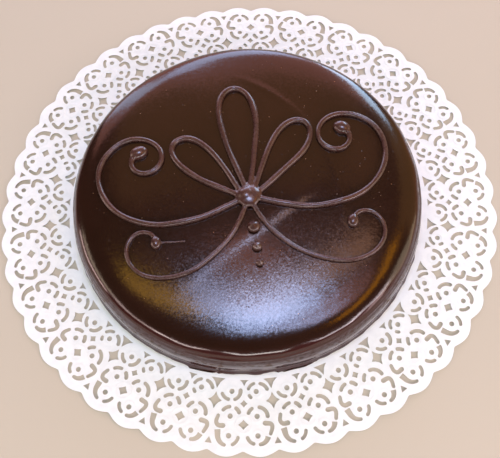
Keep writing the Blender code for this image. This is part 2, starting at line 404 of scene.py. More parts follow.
def grid_mesh(name, points):
    """A mesh from rows of points, each row a full turn, with a point at the first and last row."""
    rows, columns, _ = points.shape
    verts = [tuple(points[0, 0])] + [tuple(p) for row in points[1:-1] for p in row] + [tuple(points[-1, 0])]
    last = len(verts) - 1
    faces = []
    for j in range(columns):
        k = (j + 1) % columns
        faces.append((0, 1 + j, 1 + k))
        for i in range(rows - 3):
            a, b = 1 + i * columns, 1 + (i + 1) * columns
            faces.append((a + j, b + j, b + k, a + k))
        end = 1 + (rows - 3) * columns
        faces.append((end + j, last, end + k))
    mesh = bpy.data.meshes.new(name)
    mesh.from_pydata(verts, [], faces)
    mesh.validate()
    return mesh


def count(piece):
    piece.data.calc_loop_triangles()
    print(piece.name, "has", len(piece.data.loop_triangles), "triangles")


# %% [markdown]
# ## The torte's section
#
# A torte is baked in a round tin, so it is a turned shape. What the eye reads in a shiny glaze is not
# its height but how far it leans, because that decides which lamp it mirrors. So the section is given
# as a lean at each radius: nearly level in the middle, a few degrees further out, then quickly over
# the shoulder to a side that falls straight to a low toe on the paper. Adding up the leans gives the
# heights.

# %% Torte section
torte_low, torte_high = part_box("glazed_torte")
TORTE_MIDDLE = (-0.3 * MM, -1.7 * MM)
TORTE_FOOT = torte_low.z - 0.25 * MM
CROWN_Z = torte_high.z
LEAN_RADII = (0, 30, 60, 86, 98, 105, 110, 114, 116.6, 118.3, 119.6, 120.6, 121.3, 121.7)
LEAN_DEGREES = (0, 0.7, 2.2, 4.2, 6.0, 8.3, 12, 18, 26, 35, 45, 54, 61, 65)
WALL_RADIUS = 124.3 * MM
FOOT_RADIUS = 125.0 * MM
TOE_OUT = 0.7 * MM
TOE_HEIGHT = 3.0 * MM
LEVEL = np.concatenate((np.linspace(0, 104, 60), np.linspace(104, 121.7, 50)[1:])) * MM
LEAN = np.radians(np.interp(LEVEL, np.array(LEAN_RADII) * MM, LEAN_DEGREES))
LEAN = np.convolve(np.pad(LEAN, 2, mode="edge"), (0.1, 0.2, 0.4, 0.2, 0.1), mode="valid")
STEPS = np.diff(LEVEL) * (np.tan(LEAN[1:]) + np.tan(LEAN[:-1])) / 2
CROWN_HEIGHTS = CROWN_Z - np.concatenate(([0], np.cumsum(STEPS)))


def crown_height(r):
    """Height of the even dome, r from the middle."""
    return np.interp(r, LEVEL, CROWN_HEIGHTS)


def smoothstep(value, start, end):
    t = np.clip((value - start) / (end - start), 0, 1)
    return t * t * (3 - 2 * t)


def eased(points, steps):
    """A smooth line through the points (Catmull-Rom), with so many steps to each stretch."""
    points = np.array(points)
    padded = np.vstack((2 * points[0] - points[1], points, 2 * points[-1] - points[-2]))
    line = []
    for p0, p1, p2, p3 in zip(padded, padded[1:], padded[2:], padded[3:]):
        for i in range(steps):
            t = i / steps
            line.append(
                0.5
                * (
                    2 * p1
                    + (p2 - p0) * t
                    + (2 * p0 - 5 * p1 + 4 * p2 - p3) * t**2
                    + (3 * p1 - p0 - 3 * p2 + p3) * t**3
                )
            )
    line.append(points[-1])
    return np.array(line)


def torte_section():
    """(radius, height) rows from the middle of the top round to the middle of the underside."""
    crown = np.stack((LEVEL, CROWN_HEIGHTS), axis=1)
    top_of_wall = CROWN_HEIGHTS[-1]
    side = eased(
        (
            (LEVEL[-1], top_of_wall),
            (WALL_RADIUS - 1.0 * MM, top_of_wall - 3.5 * MM),
            (WALL_RADIUS, top_of_wall - 7.5 * MM),
            (WALL_RADIUS + 0.3 * MM, top_of_wall - 12 * MM),
            (FOOT_RADIUS - 0.5 * MM, TORTE_FOOT + 1.5 * TOE_HEIGHT),
            (FOOT_RADIUS + 0.5 * TOE_OUT, TORTE_FOOT + 0.6 * TOE_HEIGHT),
            (FOOT_RADIUS + TOE_OUT, TORTE_FOOT + 0.25 * TOE_HEIGHT),
            (FOOT_RADIUS + 0.4 * TOE_OUT, TORTE_FOOT),
        ),
        steps=5,
    )[1:]
    underside = [(share * FOOT_RADIUS, TORTE_FOOT) for share in (0.995, 0.9, 0.5, 0)]
    return np.array([*crown, *side, *underside])


SECTION = torte_section()
print(len(SECTION), "rows, torte", round((CROWN_Z - TORTE_FOOT) / MM, 1), "mm high")
print("dome falls", [round((CROWN_Z - crown_height(r * MM)) / MM, 2) for r in (86, 105, 114, 120)], "mm")

# %% [markdown]
# ## What makes the glaze uneven
#
# A poured glaze is never a perfect turned shape. It keeps slow waves from the palette knife, a step
# where the pour stopped and a second one ran up to it, a thin curved thread of a ridge, wobbles along
# the shoulder, and level streaks down the side that end in a ragged foot. Each of these is a function
# of the place on the cake, so one vertex grid can take them all, and the piping can ask for the height
# that it lies on.

# %% Glaze relief
POUR_EDGE_START = Vector((-53 * MM, -82 * MM))  # the step that the second pour left
POUR_EDGE_END = Vector((34.5 * MM, -18.5 * MM))
POUR_EDGE_STEP = 0.74 * MM
POUR_EDGE_WIDTH = 3.8 * MM
THREAD_MIDDLE = (-57 * MM, -19 * MM)  # the centre and radius of the curved ridge
THREAD_RADIUS = 122 * MM
THREAD_TURNS = (radians(-12), radians(68))
THREAD_RISE, THREAD_WIDTH = 0.32 * MM, 2.6 * MM
FOOT_FLAKES = ((-107, 5.5, 1.5), (-78, 7.0, 1.3), (-93.0, 6.0, 0.5))  # degrees, degrees, mm


def waves(seed, number, longest, shortest, *coords):
    """A sum of sine waves in random directions, between about -1 and 1."""
    pick = np.random.default_rng(seed)
    total = 0
    for _ in range(number):
        length = longest * (shortest / longest) ** pick.random()
        direction = pick.normal(size=len(coords))
        direction /= np.linalg.norm(direction)
        along = sum(c * d for c, d in zip(coords, direction))
        total = total + np.sin(2 * pi * along / length + 2 * pi * pick.random())
    return total / number**0.5 / 1.4


def pour_edge(x, y):
    """The soft step along a slanting line, fading out at both of its ends."""
    span = POUR_EDGE_END - POUR_EDGE_START
    along = ((x - POUR_EDGE_START.x) * span.x + (y - POUR_EDGE_START.y) * span.y) / span.length_squared
    across = ((x - POUR_EDGE_START.x) * span.y - (y - POUR_EDGE_START.y) * span.x) / span.length
    across = across + 1.2 * MM * np.sin(3.1 * along + 0.4)
    width = POUR_EDGE_WIDTH * (1.25 - 0.45 * np.clip(along, 0, 1))
    fade = smoothstep(along, -0.15, 0.95) * (1 - smoothstep(along, 0.95, 1.3))
    return -0.5 * POUR_EDGE_STEP * fade * np.tanh(across / width)


def thread(x, y):
    """The thin curved ridge on the far half of the dome."""
    x, y = x - THREAD_MIDDLE[0], y - THREAD_MIDDLE[1]
    turn = np.arctan2(y, x)
    off = np.hypot(x, y) - THREAD_RADIUS
    start, end = THREAD_TURNS
    fade = smoothstep(turn, start, start + 0.25) * (1 - smoothstep(turn, end - 0.35, end))
    return THREAD_RISE * fade * np.exp(-((off / THREAD_WIDTH) ** 2))


def top_relief(x, y):
    """How far the glaze on the dome stands above the even dome."""
    slow = 0.16 * MM * waves(11, 5, 150 * MM, 70 * MM, x, y)
    ripple = 0.014 * MM * waves(12, 9, 24 * MM, 11 * MM, x, y)
    return slow + ripple + pour_edge(x, y) + thread(x, y)


def side_relief(turn, z):
    """How far the glaze on the shoulder and side stands out from the even section."""
    round_x, round_y = WALL_RADIUS * np.cos(turn), WALL_RADIUS * np.sin(turn)
    body = 0.5 * MM * waves(21, 5, 260 * MM, 110 * MM, round_x, round_y)
    wobble = 0.15 * MM * waves(22, 8, 46 * MM, 18 * MM, round_x, round_y, 2 * z)
    streaks = 0.10 * MM * waves(23, 10, 26 * MM, 9 * MM, 0.5 * round_x, 0.5 * round_y, 3.2 * z)
    below = 1 - smoothstep(z, CROWN_Z - 11 * MM, CROWN_Z - 6 * MM)
    ridge_z = CROWN_Z - 9.4 * MM + 0.5 * MM * waves(24, 6, 120 * MM, 30 * MM, round_x, round_y)
    ridge_rise = 0.16 * MM * np.clip(0.6 + waves(25, 7, 60 * MM, 12 * MM, round_x, round_y), 0, 1.5)
    ridge = ridge_rise * np.exp(-(((z - ridge_z) / (1.1 * MM)) ** 2))
    return body + wobble * below + streaks * below + ridge


def foot_relief(turn, z):
    """The ragged rim of glaze on the paper, with three larger flakes of it at the front."""
    round_x, round_y = FOOT_RADIUS * np.cos(turn), FOOT_RADIUS * np.sin(turn)
    above = z - TORTE_FOOT
    ragged = np.clip(waves(31, 9, 50 * MM, 9 * MM, round_x, round_y), -0.4, 1.5)
    torn = 0.25 * waves(32, 9, 9 * MM, 3 * MM, round_x, round_y)
    out = 0.45 * MM * ragged * (1 - smoothstep(above, 0.4 * MM, 3.4 * MM))
    for middle, half, reach in FOOT_FLAKES:
        off = np.abs(turn - radians(middle)) / radians(half)
        flake = 1 - smoothstep(off + torn, 0.6, 1.1)
        out = out + reach * MM * flake * (1 - smoothstep(above, 0.25 * MM, 0.8 * MM))
    return out


def glaze_height(x, y):
    """Height of the finished glaze on the dome."""
    x, y = np.asarray(x, float) - TORTE_MIDDLE[0], np.asarray(y, float) - TORTE_MIDDLE[1]
    r = np.hypot(x, y)
    inside = 1 - smoothstep(r, 104 * MM, 113 * MM)
    return crown_height(r) + inside * top_relief(x, y)


print("pour edge is", round((POUR_EDGE_END - POUR_EDGE_START).length / MM), "mm long")

# %% [markdown]
# ## The torte
#
# A Screw or Lathe modifier would turn the section, but it can't vary from one side to the other. So the
# grid is worked out row by row in numpy: every point starts on the turned section and is then moved up
# on the dome, and outwards on the shoulder and side, by the relief at its own place.

# %% Build the torte
TORTE_COLUMNS = 560


def torte():
    turn = np.linspace(-pi, pi, TORTE_COLUMNS, endpoint=False)[None, :]
    r, z = SECTION[:, 0][:, None], SECTION[:, 1][:, None]
    x, y = r * np.cos(turn), r * np.sin(turn)
    is_crown = (np.arange(len(SECTION)) < len(LEVEL))[:, None]
    rise = np.where(is_crown, 1 - smoothstep(r, 104 * MM, 113 * MM), 0) * top_relief(x, y)
    is_rim = r > 0.98 * FOOT_RADIUS
    on_side = np.where(is_crown, smoothstep(r, 108 * MM, 119 * MM), np.where(is_rim, 1, 0))
    out = on_side * (side_relief(turn, z) + foot_relief(turn, z))
    grow = 1 + out / np.maximum(r, 1 * MM)
    points = np.stack((TORTE_MIDDLE[0] + x * grow, TORTE_MIDDLE[1] + y * grow, z + rise), axis=-1)
    made = new_object("glazed_torte_skin", grid_mesh("glazed_torte_skin", points))
    made.data.materials.append(GLAZE)
    made.data.shade_smooth()
    return made


torte_piece = torte()
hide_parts("glazed_torte")
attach(torte_piece, "root")
count(torte_piece)

# %% [markdown]
# ## The lace paper's pattern
#
# Lace paper is punched by a round die, so one medallion is repeated all the way round. It is easiest
# to think of one slice of the round: a diamond in the middle of the medallion, four petals round it,
# each a dot inside two or three curved slots, and two more petals further in. Between two medallions
# there is a star with a triangle on either side. Outlines are in millimetres here, +Y pointing
# outwards, and each is then set on the paper at its own angle and radius.

# %% Lace outlines
lace_low, lace_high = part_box("lace_paper")
LACE_RADIUS = (lace_high.x - lace_low.x) / 2
MEDALLIONS = 24
SLICE = 360 / MEDALLIONS
LACE_TURN = radians(-94.5)
SCALLOP_DEPTH = 3.4 * MM
SCALLOP_SOFTNESS = 0.15
MEDALLION_R = LACE_RADIUS / 1.126


def ring(share):
    """A radius on the paper, as a share of the ring that the medallions are centred on."""
    return share * MEDALLION_R / 1.005


def rim_radius(turn):
    """Radius of the scalloped rim at an angle from the medallion's middle, in radians."""
    lobe = np.sqrt(np.sin(MEDALLIONS * turn) ** 2 + SCALLOP_SOFTNESS**2) - SCALLOP_SOFTNESS
    return LACE_RADIUS - SCALLOP_DEPTH * (1 - (lobe / (np.hypot(1, SCALLOP_SOFTNESS) - SCALLOP_SOFTNESS)) ** 0.9)


def on_paper(outline, turn, radius):
    """The outline's points on the paper, at a turn in degrees from the medallion's middle."""
    a = radians(turn)
    x, y = np.array(outline, float).T * MM
    return np.stack(((radius + y) * cos(a) - x * sin(a), (radius + y) * sin(a) + x * cos(a)), axis=1)


def dot(radius=1.75, steps=12):
    return [(radius * cos(2 * pi * i / steps), radius * sin(2 * pi * i / steps)) for i in range(steps)]


def hollow_side(start, end, pull, steps=3):
    """Points from start up to end, bowed towards the origin by a share of the way."""
    middle = ((start[0] + end[0]) / 2 * (1 - pull), (start[1] + end[1]) / 2 * (1 - pull))
    line = []
    for i in range(steps):
        t = i / steps
        line.append(
            tuple(
                (1 - t) ** 2 * a + 2 * t * (1 - t) * (2 * m - (a + b) / 2) + t * t * b
                for a, m, b in zip(start, middle, end)
            )
        )
    return line


def diamond(half_width, half_height, pull=0.09):
    corners = ((half_width, 0), (0, half_height), (-half_width, 0), (0, -half_height))
    return [p for a, b in zip(corners, corners[1:] + corners[:1]) for p in hollow_side(a, b, pull)]


def half_star(half_width, half_height, pull=0.24):
    """The +X half of a star, from its inner point to its outer one."""
    inner, side, outer = (0, -half_height), (half_width, 0), (0, half_height)
    return hollow_side(inner, side, pull) + hollow_side(side, outer, pull) + [outer]


def half_triangle(half_width, height, pull=0.10):
    """The +X half of a triangle that stands on the origin and points outwards."""
    middle = (half_width * 0.40, height * 0.40)
    shoulder, tip = (half_width, 0), (0, height)
    flank = [shoulder, ((half_width + middle[0]) / 2, middle[1] / 2 * (1 - pull)), middle, tip]
    return [(0, 0), (half_width / 2, 0)] + flank


SLOT_SPREAD = 0.22  # the die tears each side of a slot open by so much


def slot(path, width_start, width_end, flat_end=False):
    """A slot along a path: both of its sides, and rounded ends."""
    path = np.array(path, float)
    ahead = np.gradient(path, axis=0)
    ahead /= np.linalg.norm(ahead, axis=1)[:, None]
    side = np.stack((-ahead[:, 1], ahead[:, 0]), axis=1)
    half = np.linspace(width_start / 2, width_end / 2, len(path))[:, None] + SLOT_SPREAD
    left, right = path + side * half, path - side * half
    caps = []
    for end, sign, flat in ((0, -1, False), (-1, 1, flat_end)):
        angles = () if flat else (-50, 0, 50)
        cap = [
            path[end] + half[end] * (sign * ahead[end] * cos(radians(a)) + side[end] * sin(radians(a)))
            for a in angles
        ]
        caps.append(cap)
    return [tuple(p) for p in [*right, *caps[1], *left[::-1], *caps[0][::-1]]]


def bend(radius_start, radius_end, start, end, width_start, width_end, flat_end=False, tail=None):
    """A slot bent round the origin between two angles in degrees, with an optional straight tail."""
    steps = max(3, ceil(radians(abs(end - start)) * radius_start / 1.3))
    path = []
    for i in range(steps + 1):
        t = i / steps
        a, r = radians(start + (end - start) * t), radius_start + (radius_end - radius_start) * t
        path.append((r * cos(a), r * sin(a)))
    if tail:
        path.append(tail)
    return slot(path, width_start, width_end, flat_end)


def medallion_holes():
    """Every hole that lies whole in one slice, on the paper."""
    middle = [(0, 1.005, diamond(3.5, 3.2)), (0, 0.92, diamond(2.45, 2.45))]
    outer = [
        (-3.25, 1.05, bend(6.3, 7.2, 111, 186, 1.8, 3.5, flat_end=True, tail=(-7.5, -3.6))),
        (-3.25, 1.05, bend(6.0, 6.2, 61, 7, 1.9, 1.9)),
        (3.25, 1.05, bend(5.6, 6.8, 121, 173, 1.9, 2.0)),
        (3.25, 1.05, bend(5.5, 6.6, 76, 6, 1.9, 3.2, flat_end=True)),
    ]
    hooks = [
        (0, 1.005, slot(eased(((17.6, 5.4), (18.7, 1.4), (17.6, -0.9), (13.9, -1.2)), 3), 2.0, 2.7)),
        (0, 1.005, slot(eased(((-13.2, 0.5), (-16.5, 0.1), (-17.7, -2.4), (-16.5, -6.0)), 3), 2.7, 2.0)),
    ]
    inner = [
        (-3.25, 0.972, bend(6.1, 6.1, 218, 263, 2.0, 2.0)),
        (-3.25, 0.972, bend(6.3, 6.3, 303, 334, 2.2, 2.3)),
        (3.25, 0.972, bend(6.0, 6.0, 203, 239, 2.1, 2.0)),
        (3.25, 0.972, bend(6.0, 6.9, 285, 362, 2.0, 2.3)),
    ]
    innermost = [
        (-3.29, 0.871, bend(6.5, 5.6, 164, 110, 1.9, 2.0)),
        (-3.29, 0.871, bend(5.6, 5.7, 66, -10, 1.9, 2.3)),
        (3.29, 0.871, bend(5.2, 5.2, 153, 134, 1.8, 1.9)),
        (3.29, 0.871, bend(5.4, 5.4, 201, 256, 1.8, 1.7)),
        (3.29, 0.871, bend(5.8, 7.4, 299, 350, 1.9, 2.1)),
    ]
    dots = [(turn, share, dot()) for turn, share in DOTS]
    holes = middle + outer + hooks + inner + innermost + dots
    low_triangle = half_triangle(3.0, 4.0)
    holes.append((0, 0.823, low_triangle + [(-x, y) for x, y in low_triangle[-2:0:-1]]))
    return [on_paper(outline, turn, ring(share)) for turn, share, outline in holes]


DOTS = ((-3.25, 1.05), (3.25, 1.05), (-3.25, 0.972), (3.25, 0.972), (-3.29, 0.871), (3.29, 0.871))
HOLES = medallion_holes()
print(len(HOLES), "whole holes in a slice,", sum(len(h) for h in HOLES), "points")

# %% [markdown]
# ## The slice's own edge
#
# The cut between two slices runs through the middle of the star and of its two triangles. As these are
# the same on both sides, the slice's edge only has to follow half of each, and the next slice brings
# the other half. The points of the two edges match exactly, so the copies can be merged into one sheet.

# %% Slice outline
SEAM_STEP = 1.6 * MM
CENTRE_RINGS = (0.04, 0.08, 0.112)


def seam(turn, side):
    """The slice's edge from the paper's middle to its rim; side is +1 or -1 for the half it follows."""
    halves = (
        (half_triangle(4.6, 6.9), ring(0.820)),
        (half_star(4.6, 5.6), ring(0.912)),
        ([(0, -3.8), (1.2, -1.8), (2.3, 0.2), (0, 0.2)], ring(1.083)),
    )
    line = [np.zeros((1, 2))] + [on_paper([(0, 0)], turn, r) for r in CENTRE_RINGS]
    reached = CENTRE_RINGS[-1]
    for half, radius in halves + ((None, rim_radius(SLICE / 2 * pi / 180)),):
        start = radius + (half[0][1] * MM if half else 0)
        steps = ceil((start - reached) / SEAM_STEP)
        line += [on_paper([(0, 0)], turn, reached + (start - reached) * i / steps) for i in range(1, steps)]
        if half:
            line.append(on_paper([(side * x, y) for x, y in half], turn, radius))
            reached = radius + half[-1][1] * MM
    return np.vstack(line)


def slice_outline():
    rim_turns = np.radians(np.linspace(-SLICE / 2, SLICE / 2, 49))
    radius = rim_radius(rim_turns)
    rim = np.stack((radius * np.cos(rim_turns), radius * np.sin(rim_turns)), axis=1)
    return np.vstack((seam(-SLICE / 2, 1), rim, seam(SLICE / 2, -1)[:0:-1]))


def inside(points, loop):
    """Which points lie inside the loop, by counting the edges to their right."""
    x, y = points[:, 0][:, None], points[:, 1][:, None]
    ax, ay = loop[:, 0][None, :], loop[:, 1][None, :]
    bx, by = np.roll(loop[:, 0], -1)[None, :], np.roll(loop[:, 1], -1)[None, :]
    spans = (ay > y) != (by > y)
    with np.errstate(divide="ignore", invalid="ignore"):
        crossing = ax + (y - ay) * (bx - ax) / (by - ay)
    return (spans & (x < crossing)).sum(1) % 2 == 1


OUTLINE = slice_outline()
print(len(OUTLINE), "points round the slice")

# %% [markdown]
# ## The embossing
#
# The same press that punches the holes also embosses the paper: a raised ring round each dot and round
# the diamond, two fine ribs along the scalloped rim, and a lip at each cut edge. The relief is a
# function of the place, and the sheet gets extra points where the function bends, since a flat sheet of
# large triangles couldn't show it.

# %% Embossing
DOT_RING, DIAMOND_RING, RING_WIDTH = 3.4 * MM, 5.4 * MM, 0.5 * MM
RING_RISE, RIB_RISE, LIP_RISE = 0.26 * MM, 0.16 * MM, 0.10 * MM
RIBS = (1.5 * MM, 3.3 * MM)
LIP_WIDTH = 0.45 * MM


def ring_centres():
    centres = [(on_paper([(0, 0)], turn, ring(share))[0], DOT_RING) for turn, share in DOTS]
    return centres + [(on_paper([(0, 0)], 0, ring(1.005))[0], DIAMOND_RING)]


def cut_edges():
    """Points along every cut edge, close together, to measure distances to."""
    edges = []
    for loop in HOLES + [OUTLINE]:
        for a, b in zip(loop, np.roll(loop, -1, axis=0)):
            steps = max(1, ceil(np.linalg.norm(b - a) / (0.4 * MM)))
            edges += [a + (b - a) * i / steps for i in range(steps)]
    edges = np.array(edges)
    turn = np.abs(np.degrees(np.arctan2(edges[:, 1], edges[:, 0])))
    return edges[turn < SLICE / 2 - 0.02]


CUT_EDGES = cut_edges()


def distance_to_cut(points):
    return np.array([np.sqrt(((CUT_EDGES - p) ** 2).sum(1).min()) for p in points])


def embossing(points):
    def bump(distance, width):
        return np.exp(-((distance / width) ** 2))

    rise = LIP_RISE * bump(distance_to_cut(points), LIP_WIDTH)
    for centre, radius in ring_centres():
        rise += RING_RISE * bump(np.linalg.norm(points - centre, axis=1) - radius, RING_WIDTH)
    radius, turn = np.hypot(*points.T), np.arctan2(points[:, 1], points[:, 0])
    for depth in RIBS:
        rise += RIB_RISE * bump(rim_radius(turn) - radius - depth, RING_WIDTH)
    return rise


def extra_points():
    """Points inside the slice: along the embossing, beside the cuts, and evenly in between."""
    made = []
    for centre, radius in ring_centres():
        for offset in (-0.55 * MM, 0, 0.55 * MM):
            number = ceil(2 * pi * radius / (1.05 * MM))
            for i in range(number):
                a = 2 * pi * (i + (0.5 if offset == 0 else 0)) / number
                made.append(centre + (radius + offset) * np.array((cos(a), sin(a))))
    for depth in (0.75 * MM, RIBS[0], 2.4 * MM, RIBS[1], 4.1 * MM):
        for a in np.radians(np.linspace(-SLICE / 2 + 0.3, SLICE / 2 - 0.3, 42)):
            made.append((rim_radius(a) - depth) * np.array((cos(a), sin(a))))
    for loop in HOLES:
        away = np.gradient(np.vstack((loop[-1], loop, loop[0])), axis=0)[1:-1]
        away = np.stack((away[:, 1], -away[:, 0]), axis=1)
        away /= np.linalg.norm(away, axis=1)[:, None]
        side = 1 if not inside((loop + away * 0.1 * MM)[:1], loop)[0] else -1
        made += list(loop + away * side * 0.5 * MM)
    step = 2.1 * MM
    for i, r in enumerate(np.arange(0.118, LACE_RADIUS, step * 0.87)):
        number = max(2, round(radians(SLICE) * r / step))
        for j in range(number):
            a = radians(SLICE) * ((j + 0.25 + 0.5 * (i % 2)) / number - 0.5)
            made.append(r * np.array((cos(a), sin(a))))
    return np.array(made)


def kept(points):
    """The points that lie on paper, clear of the cuts and of each other."""
    points = points[inside(points, OUTLINE)]
    for hole in HOLES:
        points = points[~inside(points, hole)]
    turn = np.abs(np.arctan2(points[:, 1], points[:, 0]))
    from_seam = np.hypot(*points.T) * np.sin(radians(SLICE / 2) - turn)
    points = points[(distance_to_cut(points) > 0.34 * MM) & (from_seam > 0.45 * MM)]
    chosen = []
    for p in points:
        if not chosen or np.min(((np.array(chosen) - p) ** 2).sum(1)) > (0.52 * MM) ** 2:
            chosen.append(p)
    return np.array(chosen)


INNER_POINTS = kept(extra_points())
print(len(INNER_POINTS), "points on the paper between the cuts")

# %% [markdown]
# ## One slice of lace, and the whole round
#
# A constrained triangulation joins the points into a sheet that keeps every cut edge, and the
# triangles that fall inside a hole are dropped. A Geometry Nodes tree then sets copies of the slice
# round the middle, merges their seams, and lifts the loose border into slow waves, because a paper
# that has been handled never lies quite flat. A Solidify modifier gives it its thickness last.

# %% Build the lace paper
PAPER_THICKNESS = 0.22 * MM
PAPER_TOP = lace_high.z + 0.02 * MM
BORDER_DROP = 0.35 * MM


def slice_mesh():
    loops = [OUTLINE] + HOLES
    points = np.vstack(loops + [INNER_POINTS])
    edges, first = [], 0
    for loop in loops:
        number = len(loop)
        edges += [(first + i, first + (i + 1) % number) for i in range(number)]
        first += number
    verts, _, faces, *_ = delaunay_2d_cdt([Vector(p) for p in points], edges, [], 0, 1e-9)
    flat = np.array(verts)
    middles = np.array([flat[list(face)].mean(0) for face in faces])
    solid = inside(middles, OUTLINE)
    for hole in HOLES:
        solid &= ~inside(middles, hole)
    faces = [face for face, keep in zip(faces, solid) if keep]
    beside_cake = smoothstep(np.hypot(*flat.T), 0.127, 0.142)
    height = PAPER_TOP - BORDER_DROP * beside_cake + embossing(flat) * beside_cake
    mesh = bpy.data.meshes.new("lace_slice")
    mesh.from_pydata([(x, y, z) for (x, y), z in zip(flat, height)], [], faces)
    bm = bmesh.new()
    bm.from_mesh(mesh)
    loose = [v for v in bm.verts if not v.link_faces]
    bmesh.ops.delete(bm, geom=loose, context="VERTS")
    for face in bm.faces:
        if face.normal.z < 0:
            face.normal_flip()
    bm.to_mesh(mesh)
    bm.free()
    return mesh


def lace_tree():
    inputs = (
        ("Copies", "NodeSocketInt"),
        ("Seam Merge", "NodeSocketFloat"),
        ("Wave Height", "NodeSocketFloat"),
        ("Wave Scale", "NodeSocketFloat"),
        ("Flat Radius", "NodeSocketFloat"),
        ("Rim Radius", "NodeSocketFloat"),
        ("Paper", "NodeSocketMaterial"),
    )
    tree, start, end = geometry_tree("lace_round", inputs)
    points = tree.nodes.new("GeometryNodePoints")
    index = tree.nodes.new("GeometryNodeInputIndex")
    share = add_node(tree, "ShaderNodeMath", operation="DIVIDE")
    angle = add_node(tree, "ShaderNodeMath", operation="MULTIPLY_ADD")
    angle.inputs[1].default_value = 2 * pi
    angle.inputs[2].default_value = LACE_TURN
    rotation = tree.nodes.new("ShaderNodeCombineXYZ")
    copies = tree.nodes.new("GeometryNodeInstanceOnPoints")
    realize = tree.nodes.new("GeometryNodeRealizeInstances")
    merge = tree.nodes.new("GeometryNodeMergeByDistance")
    wire(tree, start, "Copies", points, "Count")
    wire(tree, index, "Index", share, 0)
    wire(tree, start, "Copies", share, 1)
    wire(tree, share, "Value", angle, 0)
    wire(tree, angle, "Value", rotation, "Z")
    wire(tree, points, 0, copies, "Points")
    wire(tree, start, "Geometry", copies, "Instance")
    wire(tree, rotation, "Vector", copies, "Rotation")
    wire(tree, copies, "Instances", realize, "Geometry")
    wire(tree, realize, "Geometry", merge, "Geometry")
    wire(tree, start, "Seam Merge", merge, "Distance")
    # the border's waves: a slow noise of the place, faded in from the flat middle to the rim
    place = tree.nodes.new("GeometryNodeInputPosition")
    flat = add_node(tree, "ShaderNodeVectorMath", operation="MULTIPLY")
    flat.inputs[1].default_value = (1, 1, 0)
    radius = add_node(tree, "ShaderNodeVectorMath", operation="LENGTH")
    fade = add_node(tree, "ShaderNodeMapRange", interpolation_type="SMOOTHSTEP")
    noise = add_node(tree, "ShaderNodeTexNoise", Detail=1.0)
    level = add_node(tree, "ShaderNodeMath", operation="SUBTRACT")
    level.inputs[1].default_value = 0.42
    tall = add_node(tree, "ShaderNodeMath", operation="MULTIPLY")
    lift = add_node(tree, "ShaderNodeMath", operation="MULTIPLY")
    offset = tree.nodes.new("ShaderNodeCombineXYZ")
    move = tree.nodes.new("GeometryNodeSetPosition")
    wire(tree, place, "Position", flat, 0)
    wire(tree, flat, "Vector", radius, 0)
    wire(tree, radius, "Value", fade, "Value")
    wire(tree, start, "Flat Radius", fade, "From Min")
    wire(tree, start, "Rim Radius", fade, "From Max")
    wire(tree, flat, "Vector", noise, "Vector")
    wire(tree, start, "Wave Scale", noise, "Scale")
    wire(tree, noise, "Fac", level, 0)
    wire(tree, level, "Value", tall, 0)
    wire(tree, start, "Wave Height", tall, 1)
    wire(tree, tall, "Value", lift, 0)
    wire(tree, fade, "Result", lift, 1)
    wire(tree, lift, "Value", offset, "Z")
    wire(tree, merge, "Geometry", move, "Geometry")
    wire(tree, offset, "Vector", move, "Offset")
    paint = tree.nodes.new("GeometryNodeSetMaterial")
    wire(tree, move, "Geometry", paint, "Geometry")
    wire(tree, start, "Paper", paint, "Material")
    wire(tree, paint, "Geometry", end, "Geometry")
    return tree


def lace():
    sizes = {
        "Copies": MEDALLIONS,
        "Seam Merge": 0.03 * MM,
        "Wave Height": 3.2 * MM,
        "Wave Scale": 13.0,
        "Flat Radius": 0.130,
        "Rim Radius": LACE_RADIUS,
        "Paper": PAPER,
    }
    sheet = baked("lace_sheet", new_object("lace_slice", slice_mesh()), lace_tree(), sizes)
    thick = sheet.modifiers.new("thickness", "SOLIDIFY")
    thick.thickness = PAPER_THICKNESS
    thick.offset = -1
    made = baked("lace_paper_sheet", sheet)
    made.data.shade_smooth()
    made.data.set_sharp_from_angle(angle=radians(50))
    return made


lace_piece = lace()
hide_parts("lace_paper")
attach(lace_piece, "root")
count(lace_piece)

# %% [markdown]
# ## The flourish's lines
#
# A flourish is piped in one go for each line: the hand starts in the middle, swings out on an easy
# bend and closes it into a curl, and where it stops, the chocolate runs on into a drop. So each line
# is a pen path: a start, a heading, and bends that tighten along its length. The leaves are closed
# loops. The whole ornament is turned a little, as a hand sets it.

# %% Flourish paths
LEAF_LINE, SCROLL_LINE, SWASH_LINE, THREAD_LINE = 4.1 * MM, 3.6 * MM, 2.8 * MM, 1.9 * MM
PEN_STEP = 0.4 * MM
FLOURISH_TURN = radians(5)
KNOT_PLACE = (0.4 * MM, -12.2 * MM)


def pen_path(start, heading, bends):
    """A line from a start and a heading in degrees; each bend is (length, first, last curvature)."""
    x, y = start
    turn = radians(heading)
    line = [(x, y)]
    for length, first, last in bends:
        number = ceil(length / PEN_STEP)
        step = length / number
        for i in range(number):
            curve = first + (last - first) * (i + 0.5) / number
            turn += curve * step / 2
            x += cos(turn) * step
            y += sin(turn) * step
            turn += curve * step / 2
            line.append((x, y))
    return np.array(line)


def leaf_loop(base, axis, length, width):
    """A closed leaf-shaped loop that stands on base and points along axis, in degrees."""
    foot = 3.2 * MM
    steps = ceil(2.1 * length / PEN_STEP)
    t = 2 * pi * (np.arange(steps) + 0.5) / steps
    tip = (1 - np.cos(t)) / 2
    along = length * tip
    across = np.sin(t) * (0.775 * width * tip + foot * (1 - tip))
    a = radians(axis)
    return np.stack(
        (base[0] + along * cos(a) - across * sin(a), base[1] + along * sin(a) + across * cos(a)), axis=1
    )


